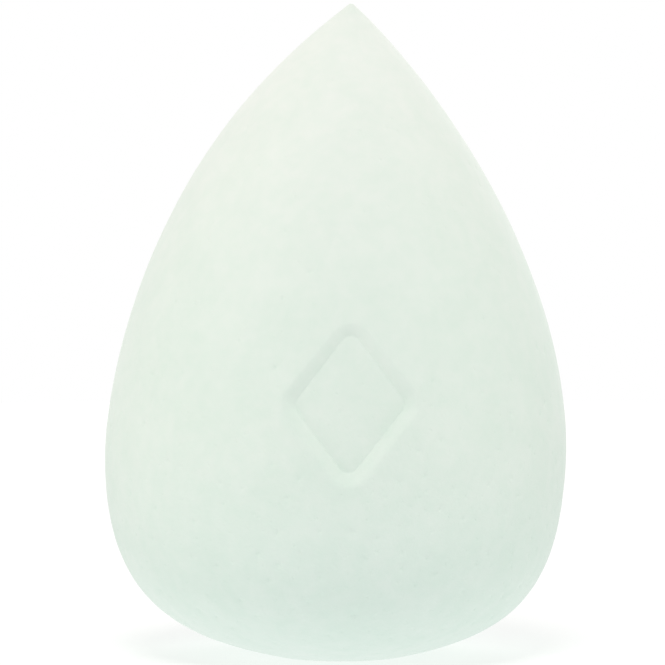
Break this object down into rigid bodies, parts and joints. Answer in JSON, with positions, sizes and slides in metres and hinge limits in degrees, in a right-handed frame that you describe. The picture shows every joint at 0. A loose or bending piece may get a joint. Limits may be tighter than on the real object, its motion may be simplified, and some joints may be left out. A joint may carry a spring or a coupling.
{
  "type": "makeup sponge",
  "caption": "Teardrop foam sponge for blending makeup, with a pointed tip, a rounded belly, a small flat foot and a shallow lozenge recess.",
  "frame": {"origin": "centre of the flat foot that the sponge stands on", "axes": "+Z along the sponge's axis towards its tip, -Y out of the front with the recess, +X to the right seen from the front"},
  "size_m": [0.0424, 0.0424, 0.06],
  "materials": {
    "foam_skin": "matt closed-cell skin of moulded polyurethane foam with fine pin-holes",
    "foam_core": "matt open-celled polyurethane foam"
  },
  "bodies": {
    "root": {"foam_core": "foam_core", "moulded_skin": "foam_skin"}
  },
  "joints": []
}
